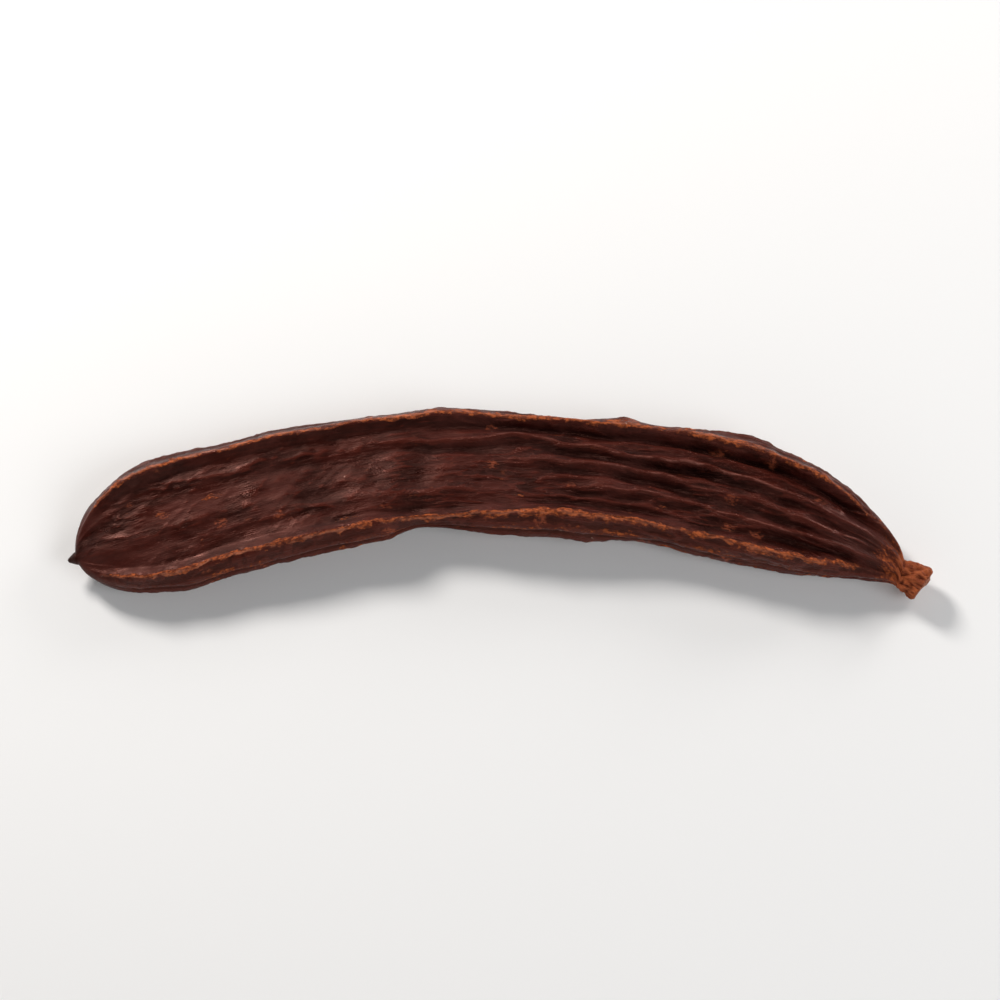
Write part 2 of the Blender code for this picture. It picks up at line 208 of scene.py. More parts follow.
podForm = {
    # the whole, in millimetres
    "length": 176.0,  # along the middle line, beak and stalk included
    "wide": 26.0,
    "narrow": 23.6,
    "widestAt": 38.0,
    "narrowAt": 130.0,
    "widthUneven": 0.40,
    "widthWave": 17.0,
    "faceThickness": 6.5,
    "rimThickness": 8.6,
    "thinEnds": (0.7, 0.8),  # the faces round off over this share of the outline's reach
    "squareness": 0.9,  # of the section
    "farSquareness": 0.8,  # more of it at the far margin
    "filletPower": 2.4,
    "reliefFade": (14.0, 18.0),  # over which the relief sets in, from the beak and the stalk
    # beak
    "beakLength": 1.9,
    "beakFootRadius": 1.3,
    "beakTipRadius": 0.6,
    "beakTipLength": 0.3,
    "beakTipRound": 0.8,
    "beakRound": 22.0,
    "beakAside": 0.13,
    # stalk
    "stalkLength": 8.0,
    "stalkRadius": 2.6,
    "stalkReach": (25.0, 70.0),  # its rod ends in the pod this far from the stalk's end
    "stalkKnobRadius": 3.3,
    "stalkKnobAt": 2.7,
    "stalkKnobSpread": 2.3,
    "stalkTipRound": 2.2,
    "stalkStart": (-3.0, 2.0),  # from its foot, where its own relief sets in
    "stalkRound": 45.0,
    "stalkPoint": 1.15,
    "stalkAside": 0.66,
    "scarDepth": 1.0,
    "scarRim": 1.3,
    "scarSlant": 1.2,
    "scarRough": 0.55,
    "scarRoughSize": 1.7,
    "splinterSize": 0.6,
    # bend, bow, twist and rest
    "bend": math.radians(29.0),
    "bendStart": 12.0,
    "bendEnd": 146.0,
    "stalkBend": math.radians(13.0),
    "stalkBendReach": (3.0, 2.0),  # it starts this far before its foot and ends before its end
    "middleSteps": 1500,
    "bowHeight": 1.5,
    "beakRoll": math.radians(9.0),
    "beakRollReach": (10.0, 70.0),
    "stalkRoll": math.radians(15.0),
    "stalkRollReach": (95.0, 165.0),
    "restPitch": math.radians(0.32),
    "restRoll": math.radians(-4.29),
    # margins
    "rimPlace": 0.84,
    "rimSpread": 0.19,
    "farCrest": 0.66,
    "nearCrest": 0.36,
    "crestHalfWidth": 0.95,
    "crestUneven": 0.7,
    "crestUnevenWave": 9.0,
    "crestWander": 0.10,
    "crestWanderWave": 11.0,
    "seamDepth": 0.70,
    "seamHalfWidth": 0.22,
    "seamShoulder": 0.32,
    "seamShoulderAt": -0.55,
    "seamShoulderHalfWidth": 0.2,
    "seamSpread": 1.25,  # how much wider the way from crest to seam is than half the thickness
    "gutterInside": 3.1,
    "gutterHalfWidth": 1.4,
    "gutterDepth": 0.30,
    "gutterStalkDepth": 0.25,
    "farGutterStalkDepth": 1.20,
    "stalkHalf": (62.0, 112.0),
    "farWave": 0.55,
    "farWaveLengths": (21.0, 8.0),
    "nearWave": 0.60,
    "nearWaveLengths": (25.0, 9.0),
    "waveRipple": 0.4,  # the short wave's share
    "marginUneven": 0.34,
    "marginUnevenLengths": (7.5, 3.4),
    "marginRipple": 0.6,
    # side (1 far, -1 near), place along, depth, reach
    "nicks": ((-1, 73.0, 2.3, 9.0), (-1, 69.0, 0.7, 3.5), (-1, 119.0, 0.6, 7.0),
              (1, 98.0, 0.6, 9.0), (1, 31.0, 0.5, 7.0)),
    # folds: start, end, place across at each, height, half width
    "upperFolds": ((58, 166, 0.50, 0.26, 1.30, 0.92), (82, 168, 0.14, -0.06, 0.95, 0.95),
                   (94, 164, -0.28, -0.34, 0.95, 0.92), (18, 74, 0.42, 0.55, 0.34, 1.60),
                   (26, 92, -0.22, -0.44, 0.30, 1.70), (120, 168, -0.58, -0.30, 0.50, 0.95)),
    "lowerFolds": ((40, 160, 0.42, 0.20, 0.55, 1.25), (58, 165, -0.12, -0.20, 0.48, 1.30),
                   (90, 168, -0.46, -0.38, 0.50, 1.10), (14, 66, 0.10, 0.30, 0.34, 1.60),
                   (20, 80, -0.48, -0.30, 0.36, 1.60)),
    "foldWander": 0.13,
    "foldWanderLengths": (17.0, 7.0),
    "foldRipple": 0.45,
    "foldStrength": 0.75,
    "foldUneven": 0.5,
    "foldUnevenLength": 24.0,
    "foldFade": 16.0,
    "foldTrough": 0.6,  # its depth and its place beside the fold
    "foldTroughAt": -1.9,
    # seeds that show through
    "seedFirst": 26.0,
    "seedLast": 148.0,
    "seedCount": 13,
    "seedHeight": 0.42,
    "seedRadius": 3.3,
    "seedSlant": 2.0,
    "seedReach": 0.42,  # share of the half width
    # uneven drying; sizes are along the pod, across it and up
    "broadDents": 0.70,
    "broadDentSize": (26.0, 11.0, 9.0),
    "smallDents": 0.38,
    "smallDentSize": (11.0, 5.0, 5.0),
    "wrinkleHeight": 0.20,
    "wrinkleStalkHeight": 0.36,
    "wrinkleSize": (30.0, 3.6, 3.6),
    "wrinkleWander": (1.4, (20.0, 12.0, 12.0)),  # how far it strays, and over what size
    "wrinkledHalf": (50.0, 125.0),
    "beakCreaseHeight": 0.34,
    "beakCreaseStart": (0.5, 4.0),
    "beakCreaseReach": (5.0, 15.0),
    "beakCreases": 7,
    "stalkCreaseHeight": 0.42,
    "stalkCreaseStart": (-4.0, 3.0),
    "stalkCreaseReach": (6.0, 22.0),
    "stalkCreases": 9,
    "stalkLumpHeight": 0.75,
    "stalkLumpSize": (2.7, 2.7, 2.7),
    "stalkLumpEnd": 1.2,
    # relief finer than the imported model's
    "foldEdge": 0.26,
    "foldEdgeHalfWidth": 0.27,
    "foldEdgeWander": 0.35,
    "foldEdgeLength": 3.0,
    "fanHeight": 0.20,
    "fanSpread": 3.4,
    "fanLength": 13.0,
    "fanSharpness": 3.2,
    "fanReach": (9.0, 24.0),
    "fanBeakStart": 2.5,
    "fanStalkStart": (-2.0, 2.0),
    "creaseHeight": 0.34,
    "creaseSize": (13.0, 2.1, 2.1),
    "creaseWander": (1.0, (7.0, 5.0, 5.0)),
    "creaseSharpness": (2.8, 1.8),
    "creasedHalf": (52.0, 108.0),
    "lineHeight": 0.10,
    "lineStalkHeight": 0.22,
    "lineSize": (12.0, 1.25, 1.25),
    "lineWander": (1.1, (9.0, 6.0, 6.0)),
    "linePatchSize": (16.0, 8.0, 8.0),
    "lineSharpness": (3.4, 1.4),
    "linedHalf": (50.0, 120.0),
    "veinHeight": 0.065,
    "veinSize": (10.0, 2.2, 4.0),
    "veinSharpness": 4.5,
    "veinTilts": (math.radians(36.0), math.radians(-28.8)),
    "crumbHeight": 0.22,
    "crumbSize": (1.275, 0.75, 0.75),
    "crumbPatchSize": (6.0, 5.0, 5.0),
    "crumbHalfWidth": 1.1,
    "crumbsOutside": 0.6,  # their strength beside the seam
    "crackDepth": 0.20,
    "crackSize": (1.3, 3.0, 3.0),
    "crackSharpness": 5.0,
    "barkHeight": 0.50,
    "barkSize": (3.06, 0.85, 0.85),
    "barkEnd": 1.5,
    "fineSink": 0.07,  # so that the fine relief doesn't make the pod thicker
    # where the finish changes
    "beakEnd": (0.8, 2.9),  # from the beak's tip
    "wrinkledSkin": (48.0, 108.0),
    "footRust": (-15.0, -1.0),  # from the foot of the stalk
    "woodStart": (-3.0, 0.5),
    "scarStart": (-1.6, -0.5),  # from the stalk's end
    # mesh
    "stepsAlong": 400,
    "stepsRound": 240,
    "faceShare": 0.355,  # share of the steps round that lie on each face
    "closerAtEnds": 0.62,
    "evenSteps": 0.25,  # share of the map's length that is dealt out by steps, not millimetres
    "finePasses": 6,  # smoothing that finds the narrow hollows, and the broad ones
    "broadPasses": 60,
}


# Pod: its outline

# s is the way along the middle line from the beak's tip, across runs from -1 at the near margin
# to 1 at the far one, and up from -1 underneath to 1 on top

def joinRadii(*radii):
    power = podForm["filletPower"]
    return sum(r**power for r in radii) ** (1.0 / power)


def bodyShare(s):
    # 1 along the pod, 0 on the beak and on the stalk
    f = podForm
    beakFade, stalkFade = f["reliefFade"]
    fromBeak = ease(s, f["beakLength"], f["beakLength"] + beakFade)
    return fromBeak * ease(f["length"] - s, f["stalkLength"], f["stalkLength"] + stalkFade)


def tapers(s, beakReach, stalkReach):
    f = podForm
    stalk = roundOff(f["length"] - f["stalkLength"] - s, stalkReach) ** f["stalkPoint"]
    return roundOff(s - f["beakLength"], beakReach) * stalk


def stalkRadius(s):
    f = podForm
    left = f["length"] - s
    knob = swell(left, f["stalkKnobAt"], f["stalkKnobSpread"])
    radius = f["stalkRadius"] + (f["stalkKnobRadius"] - f["stalkRadius"]) * knob
    return radius * roundOff(left + 0.01, f["stalkTipRound"]) * easeOff(left, *f["stalkReach"])


def beakRadius(s):
    f = podForm
    cone = ease(s, f["beakTipLength"], f["beakLength"])
    radius = f["beakTipRadius"] + (f["beakFootRadius"] - f["beakTipRadius"]) * cone
    return radius * roundOff(s + 0.01, f["beakTipRound"])


def halfWidth(s):
    f = podForm
    body = f["wide"] / 2 - (f["wide"] - f["narrow"]) / 2 * ease(s, f["widestAt"], f["narrowAt"])
    body = body + f["widthUneven"] * alongNoise(s, f["widthWave"], seed=3) * bodyShare(s)
    pod = body * tapers(s, f["beakRound"], f["stalkRound"])
    return joinRadii(pod, beakRadius(s), stalkRadius(s))


def halfThickness(s):
    f = podForm
    beakShare, stalkShare = f["thinEnds"]
    taper = tapers(s, f["beakRound"] * beakShare, f["stalkRound"] * stalkShare)
    return joinRadii(f["faceThickness"] / 2 * taper, beakRadius(s), stalkRadius(s))


def sideShift(s):
    f = podForm
    taper = 1.0 - tapers(s, f["beakRound"], f["stalkRound"])
    toStalk = ease(s, f["length"] / 2, f["length"])
    aside = f["beakAside"] * (1.0 - toStalk) + f["stalkAside"] * toStalk
    return -taper * aside * f["narrow"] / 2


def roundedSection(s, share):
    # a walk on a square, from the far margin over the upper face, drawn in to a rounded one
    f = podForm
    face, side = f["faceShare"], 0.5 - f["faceShare"]
    stops = np.cumsum([0.0, side / 2, face, side, face, side / 2])
    across = np.interp(share, stops, [1, 1, -1, -1, 1, 1])
    up = np.interp(share, stops, [0, 1, 1, -1, -1, 0])
    squareness = f["squareness"] + f["farSquareness"] * ease(across, -0.4, 0.4)
    power = 2.0 + squareness * bodyShare(s)  # 2 draws an ellipse
    reach = (np.abs(across) ** power + np.abs(up) ** power) ** (1.0 / power)
    return across / reach, up / reach, power


def middleLine(s):
    f = podForm
    fine = np.linspace(0.0, f["length"], f["middleSteps"])
    beforeFoot, beforeEnd = f["stalkBendReach"]
    foot = f["length"] - f["stalkLength"]
    onStub = ease(fine, foot - beforeFoot, f["length"] - beforeEnd)
    heading = f["bend"] * (0.5 - ease(fine, f["bendStart"], f["bendEnd"])) - f["stalkBend"] * onStub
    step = fine[1] - fine[0]
    x = np.concatenate([[0.0], np.cumsum(np.cos(heading[1:]) * step)])
    y = np.concatenate([[0.0], np.cumsum(np.sin(heading[1:]) * step)])
    chord = math.atan2(y[-1], x[-1])
    levelX = x * math.cos(chord) + y * math.sin(chord)
    levelY = y * math.cos(chord) - x * math.sin(chord)
    bow = f["bowHeight"] * np.sin(np.pi * fine / f["length"])
    points = np.column_stack([np.interp(s, fine, c) for c in (levelX, levelY, bow)])
    turned = np.interp(s, fine, heading - chord)
    return points, np.column_stack([-np.sin(turned), np.cos(turned), np.zeros_like(turned)])


# Pod: its relief, in millimetres out of the skin

def farHalf(across):
    return ease(across, -0.15, 0.15)


def marginEdges(s, across):
    f = podForm
    far = farHalf(across)
    broad, narrow = f["marginUnevenLengths"]
    ripple = f["marginRipple"] * marginNoise(s, far, narrow, seed=15)
    uneven = marginNoise(s, far, broad, seed=14) + ripple
    total = f["marginUneven"] * uneven * ease(np.abs(across), 0.6, 1.0) * bodyShare(s)
    for side, place, depth, reach in f["nicks"]:
        total -= depth * swell(s, place, reach) * ease(across * side, 0.35, 1.0)
    return total


def crestPlace(s, across, up, a, b):
    # how far inward of a margin's crest: as -1 on the seam and 0 on the crest, and in millimetres
    f = podForm
    far = farHalf(across)
    wander = f["crestWander"] * marginNoise(s, far, f["crestWanderWave"], seed=12)
    inward = np.abs(up) - np.abs(across) + wander
    return inward, np.where(inward < 0, inward * b * f["seamSpread"], inward * a), far


def rimLines(s, inward, fromCrest, far):
    f = podForm
    uneven = 1.0 + f["crestUneven"] * marginNoise(s, far, f["crestUnevenWave"], seed=6)
    height = f["nearCrest"] + (f["farCrest"] - f["nearCrest"]) * far
    crest = height * swell(fromCrest, 0.0, f["crestHalfWidth"]) * uneven
    shoulder = f["seamShoulder"] * swell(inward, f["seamShoulderAt"], f["seamShoulderHalfWidth"])
    seam = shoulder - f["seamDepth"] * swell(inward, -1.0, f["seamHalfWidth"])
    deeper = f["gutterStalkDepth"] + f["farGutterStalkDepth"] * far
    depth = f["gutterDepth"] + deeper * ease(s, *f["stalkHalf"])
    gutter = depth * swell(fromCrest, f["gutterInside"], f["gutterHalfWidth"])
    return (crest + seam - gutter) * bodyShare(s)


def foldRelief(s, fromMiddle, seed):
    # one fold's height over its trough, as a share, and the thin line along its crest
    f = podForm
    trough = f["foldTrough"] * swell(fromMiddle, f["foldTroughAt"], 1.0)
    ridge = swell(fromMiddle, 0.0, 1.0) - trough
    edgeAt = f["foldEdgeWander"] * alongNoise(s, f["foldEdgeLength"], seed)
    edge = swell(fromMiddle, edgeAt, f["foldEdgeHalfWidth"])
    return ridge + f["foldEdge"] * edge, edge


def faceFolds(s, across, up, a):
    # the folds' height, and a mask of the thin lines along their crests
    f = podForm
    total, crests = np.zeros_like(s), np.zeros_like(s)
    face = ease(np.abs(up) - np.abs(across), 0.02, 0.3)
    broad, narrow = f["foldWanderLengths"]
    for side, folds in ((1, f["upperFolds"]), (-1, f["lowerFolds"])):
        on = up * side > 0
        t = s[on]
        for number, (start, end, first, last, height, width) in enumerate(folds):
            seed = 20 + 10 * side + number
            wander = alongNoise(t, broad, seed) + f["foldRipple"] * alongNoise(t, narrow, seed)
            place = first + (last - first) * ease(t, start, end) + f["foldWander"] * wander
            there = ease(t, start, start + f["foldFade"]) * ease(end - t, 0, f["foldFade"])
            uneven = f["foldUneven"] * alongNoise(t, f["foldUnevenLength"], seed + 50)
            strength = f["foldStrength"] + uneven
            relief, edge = foldRelief(t, (across[on] - place) * a[on] / width, seed + 90)
            total[on] += there * strength * height * relief
            crests[on] = np.maximum(crests[on], there * strength * min(height, 1.0) * edge)
    return total * face, crests * face


def seedBumps(s, across, up):
    f = podForm
    total = np.zeros_like(s)
    pitch = (f["seedLast"] - f["seedFirst"]) / (f["seedCount"] - 1)
    for number in range(f["seedCount"]):
        place = f["seedFirst"] + pitch * (number + 0.22 * math.sin(2.4 * number))
        height = f["seedHeight"] * (0.75 + 0.35 * math.sin(1.7 * number + 0.6))
        aside = 0.10 * math.sin(3.1 * number)
        slant = s - f["seedSlant"] * across
        total += height * swell(slant, place, f["seedRadius"]) * swell(across, aside, f["seedReach"])
    return total * ease(np.abs(up), 0.3, 0.8)


def endCreases(s, across, up):
    f = podForm
    turn = np.arctan2(up, across)
    fromBeak = s - f["beakLength"]
    toStalk = f["length"] - f["stalkLength"] - s
    beak = f["beakCreaseHeight"] * ease(fromBeak, *f["beakCreaseStart"])
    beak = beak * easeOff(fromBeak, *f["beakCreaseReach"])
    stalk = f["stalkCreaseHeight"] * ease(toStalk, *f["stalkCreaseStart"])
    stalk = stalk * easeOff(toStalk, *f["stalkCreaseReach"])
    beakCreases = beak * np.cos(f["beakCreases"] * turn + 0.4)
    return beakCreases + stalk * np.cos(f["stalkCreases"] * turn + 1.1)


def fans(s, across, up):
    # narrow wrinkles between the end creases
    f = podForm
    turn = np.arctan2(up, across)
    spread = f["fanSpread"]
    ridge = noiseAt([np.cos(turn) * spread, np.sin(turn) * spread, s / f["fanLength"]], seed=46)
    beak = ease(s, f["beakLength"], f["beakLength"] + f["fanBeakStart"])
    beak = beak * easeOff(s, *f["fanReach"])
    toStalk = f["length"] - f["stalkLength"] - s
    stalk = ease(toStalk, *f["fanStalkStart"]) * easeOff(toStalk, *f["fanReach"])
    return f["fanHeight"] * (sharpLines(ridge, f["fanSharpness"]) - 0.3) * (beak + stalk)


def rippledWave(s, lengths, seed):
    ripple = podForm["waveRipple"] * alongNoise(s, lengths[1], seed + 1)
    return alongNoise(s, lengths[0], seed) + ripple


def wavyMargins(s, across):
    # how far the margins wave up and down
    f = podForm
    far = f["farWave"] * rippledWave(s, f["farWaveLengths"], seed=8)
    near = f["nearWave"] * rippledWave(s, f["nearWaveLengths"], seed=10)
    share = ease(across, -1.0, 1.0)
    return (far * share**2 + near * (1.0 - share) ** 2) * bodyShare(s)


def dents(s, y, z):
    f = podForm
    broad = f["broadDents"] * solidNoise(s, y, z, f["broadDentSize"], seed=1)
    small = f["smallDents"] * solidNoise(s, y, z, f["smallDentSize"], seed=2)
    return (broad + small) * bodyShare(s)


def longWrinkles(s, y, z):
    f = podForm
    ridge = strayingNoise(s, y, z, f["wrinkleSize"], f["wrinkleWander"], seeds=(5, 4))
    strength = f["wrinkleHeight"] + f["wrinkleStalkHeight"] * ease(s, *f["wrinkledHalf"])
    return strength * (1.0 - 2.2 * np.abs(ridge)) * bodyShare(s)


def onStalk(s):
    foot = podForm["length"] - podForm["stalkLength"]
    return easeFrom(s, foot, podForm["stalkStart"])


def stalkLumps(s, y, z):
    f = podForm
    lumps = f["stalkLumpHeight"] * solidNoise(s, y, z, f["stalkLumpSize"], seed=7)
    return lumps * onStalk(s) * ease(f["length"] - s, 0.0, f["stalkLumpEnd"])


def brokenEnd(s, across, y, z):
    # how far the stalk's end is set back
    f = podForm
    flat = 0.0 * s
    coarse, fine = f["scarRoughSize"], f["splinterSize"]
    rough = f["scarRough"] * noiseAt([y / coarse, z / coarse, flat], seed=16)
    splinters = 0.5 * f["scarRough"] * noiseAt([y / fine, z / fine, flat], seed=17)
    onEnd = ease(s, f["length"] - f["scarRim"], f["length"])
    slant = f["scarSlant"] * 0.5 * (1.0 - across)
    onSlant = ease(s, f["length"] - f["stalkLength"], f["length"])
    return (f["scarDepth"] + rough + splinters) * onEnd + slant * onSlant


def creases(s, y, z):
    # sharp ridges between the folds of the stalk half
    f = podForm
    ridge = strayingNoise(s, y, z, f["creaseSize"], f["creaseWander"], seeds=(51, 52))
    sharp = sharpLines(ridge, *f["creaseSharpness"]) - 0.2
    return f["creaseHeight"] * sharp * ease(s, *f["creasedHalf"]) * bodyShare(s)


def fineLines(s, y, z):
    # narrow sharp ridges that run along the pod and branch
    f = podForm
    ridge = strayingNoise(s, y, z, f["lineSize"], f["lineWander"], seeds=(31, 32))
    patch = 0.55 + 0.9 * solidNoise(s, y, z, f["linePatchSize"], seed=33)
    strength = f["lineHeight"] + f["lineStalkHeight"] * ease(s, *f["linedHalf"])
    sharp = sharpLines(ridge, *f["lineSharpness"])
    return strength * sharp * np.clip(patch, 0.12, 1.2) * bodyShare(s)


def veins(s, y, z):
    # a faint net that leaves the margins at a slant
    f = podForm
    total = np.zeros_like(s)
    for number, tilt in enumerate(f["veinTilts"]):
        run = s * math.cos(tilt) + y * math.sin(tilt)
        side = y * math.cos(tilt) - s * math.sin(tilt)
        ridge = solidNoise(run, side, z, f["veinSize"], seed=36 + number)
        total += sharpLines(ridge, f["veinSharpness"])
    return f["veinHeight"] * total * bodyShare(s)


def crumbs(s, y, z, inward, fromCrest):
    # the torn, corky skin along the rims
    f = podForm
    grain = f["crumbHeight"] * solidNoise(s, y, z, f["crumbSize"], seed=41)
    crack = solidNoise(s, y, z, f["crackSize"], seed=43)
    cracks = f["crackDepth"] * sharpLines(crack, f["crackSharpness"])
    patch = 0.35 + 0.65 * ease(solidNoise(s, y, z, f["crumbPatchSize"], seed=42), -0.25, 0.25)
    outside = f["crumbsOutside"] * ease(-inward, 0.05, 0.35)
    onRim = np.maximum(swell(fromCrest, 0.0, f["crumbHalfWidth"]), outside) * bodyShare(s)
    return (grain - cracks) * onRim * patch


def bark(s, y, z):
    f = podForm
    ridge = 0.6 - 2.4 * np.abs(solidNoise(s, y, z, f["barkSize"], seed=44))
    return f["barkHeight"] * ridge * onStalk(s) * ease(f["length"] - s, 0.0, f["barkEnd"])


# Pod: the whole skin

def finishMasks(s, inward, fromCrest, foldCrests):
    # what the material reads at each point
    f = podForm
    foot = f["length"] - f["stalkLength"]
    return {
        "crestPlace": fromCrest,
        "seamPlace": inward,
        "foldCrest": foldCrests,
        "body": bodyShare(s),
        "stalkHalf": ease(s, *f["wrinkledSkin"]),
        "foot": easeFrom(s, foot, f["footRust"]),
        "stalk": easeFrom(s, foot, f["woodStart"]),
        "scar": easeFrom(s, f["length"], f["scarStart"]),
        "beak": 1.0 - ease(s, *f["beakEnd"]),
    }


def bentAndTwisted(s, outwards, upwards, setBack):
    # from the straight pod to points round the bent middle line
    f = podForm
    middle, toFar = middleLine(s - setBack)
    beakRoll = f["beakRoll"] * easeOff(s, *f["beakRollReach"])
    roll = (beakRoll + f["stalkRoll"] * ease(s, *f["stalkRollReach"]))[:, None]
    upAxis = np.array([0.0, 0.0, 1.0])
    farWay = toFar * np.cos(roll) + upAxis * np.sin(roll)
    topWay = upAxis * np.cos(roll) - toFar * np.sin(roll)
    return middle + farWay * outwards[:, None] + topWay * upwards[:, None]


def podSkin(s, share):
    # the skin's points, their places in the straight pod, and the masks
    f = podForm
    a, b = halfWidth(s), halfThickness(s)
    across, up, power = roundedSection(s, share)
    rimGain = f["rimThickness"] / f["faceThickness"] / f["rimPlace"] - 1.0
    onMargin = swell(np.abs(across), f["rimPlace"], f["rimSpread"])
    y, z = a * across, b * up * (1.0 + rimGain * onMargin * bodyShare(s))
    outY = np.sign(across) * np.abs(across) ** (power - 1.0) / a
    outZ = np.sign(up) * np.abs(up) ** (power - 1.0) / b
    out = np.hypot(outY, outZ)
    inward, fromCrest, far = crestPlace(s, across, up, a, b)
    folds, foldCrests = faceFolds(s, across, up, a)
    relief = (
        rimLines(s, inward, fromCrest, far)
        + folds
        + seedBumps(s, across, up)
        + endCreases(s, across, up)
        + fans(s, across, up)
        + marginEdges(s, across)
        + dents(s, y, z)
        + longWrinkles(s, y, z)
        + stalkLumps(s, y, z)
        + creases(s, y, z)
        + fineLines(s, y, z)
        + veins(s, y, z)
        + crumbs(s, y, z, inward, fromCrest)
        + bark(s, y, z)
        - f["fineSink"] * bodyShare(s)
    )
    outwards = y + sideShift(s) + relief * outY / out
    upwards = z + relief * outZ / out + wavyMargins(s, across)
    points = bentAndTwisted(s, outwards, upwards, brokenEnd(s, across, y, z))
    return points, np.column_stack([s, y, z]), finishMasks(s, inward, fromCrest, foldCrests)


def laidDown(points):
    # turned to rest on the floor, in the node's own box, with the low points pressed flat
    pitch, roll = podForm["restPitch"], podForm["restRoll"]
    x, y, z = points.T
    x, z = x * math.cos(pitch) - z * math.sin(pitch), x * math.sin(pitch) + z * math.cos(pitch)
    y, z = y * math.cos(roll) - z * math.sin(roll), y * math.sin(roll) + z * math.cos(roll)
    x = x - (x.min() + x.max()) / 2 + podCentre.x / mm
    y = y - (y.min() + y.max()) / 2 + podCentre.y / mm
    z = np.maximum(z - z.max() + podHigh.z / mm, podLow.z / mm)
    return np.column_stack([x, y, z])


def numbersOf(items, name, kind=np.int32, width=1):
    found = np.zeros(len(items) * width, dtype=kind)
    items.foreach_get(name, found)
    return found.reshape(-1, width) if width > 1 else found


def hollowness(mesh, passes):
    # how far each point lies under the mean of its surroundings, in millimetres
    points = numbersOf(mesh.vertices, "co", float, 3) / mm
    normals = numbersOf(mesh.vertices, "normal", float, 3)
    start, end = numbersOf(mesh.edges, "vertices", width=2).T
    both, other = np.concatenate([start, end]), np.concatenate([end, start])
    count = np.bincount(both, minlength=len(points))
    soft = points.copy()
    for _ in range(passes):
        sums = [np.bincount(both, weights=soft[other, axis]) for axis in range(3)]
        soft = np.column_stack(sums) / count[:, None]
    return ((soft - points) * normals).sum(axis=1)


def storeMask(mesh, name, values):
    layer = mesh.attributes.new(name, "FLOAT", "POINT")
    layer.data.foreach_set("value", np.asarray(values, dtype=np.float32))


def unwrap(mesh, along, share):
    # one strip for baked images, cut along the groove of the far margin
    corners = numbersOf(mesh.loops, "vertex_index")
    starts = numbersOf(mesh.polygons, "loop_start")
    face = np.repeat(np.arange(len(starts)), numbersOf(mesh.polygons, "loop_total"))
    u, v = along[corners], (share.round(6) % 1.0)[corners]
    v[(u < 1e-6) | (u > 1.0 - 1e-6)] = np.nan  # a pole takes the middle of its face
    v[np.fmax.reduceat(v, starts)[face] - v > 0.5] += 1.0
    middle = (np.fmin.reduceat(v, starts) + np.fmax.reduceat(v, starts))[face] / 2
    v = np.where(np.isnan(v), middle, v)
    layer = mesh.uv_layers.new(name="OFBake")
    layer.uv.foreach_set("vector", np.column_stack([u, v]).astype(np.float32).ravel())


def makePod():
    # a sphere's net of points, each moved to its place on the skin
    f = podForm
    bm = bmesh.new()
    bmesh.ops.create_uvsphere(
        bm, u_segments=f["stepsRound"], v_segments=f["stepsAlong"], radius=1.0
    )
    onSphere = np.array([v.co for v in bm.verts])
    t = 1.0 - np.arccos(np.clip(onSphere[:, 2], -1.0, 1.0)) / math.pi
    share = np.arctan2(onSphere[:, 1], onSphere[:, 0]) / (2 * math.pi) % 1.0
    s = f["length"] * (t - f["closerAtEnds"] * np.sin(2 * math.pi * t) / (2 * math.pi))
    points, place, masks = podSkin(s, share)
    for vertex, point in zip(bm.verts, laidDown(points)):
        vertex.co = point * mm
    bmesh.ops.recalc_face_normals(bm, faces=bm.faces[:])
    mesh = bpy.data.meshes.new("carobPodSkin")
    bm.to_mesh(mesh)
    bm.free()
    mesh.shade_smooth()
    layer = mesh.attributes.new("podPlace", "FLOAT_VECTOR", "POINT")
    layer.data.foreach_set("vector", place.astype(np.float32).ravel())
    masks["hollowFine"] = hollowness(mesh, f["finePasses"])
    masks["hollowBroad"] = hollowness(mesh, f["broadPasses"])
    for name, values in masks.items():
        storeMask(mesh, name, values)
    unwrap(mesh, (1.0 - f["evenSteps"]) * s / f["length"] + f["evenSteps"] * t, share)
    pod = bpy.data.objects.new("carobPodSkin", mesh)
    bpy.context.scene.collection.objects.link(pod)
    print("pod: %d faces" % len(mesh.polygons))
    return pod


# Pod: the finish

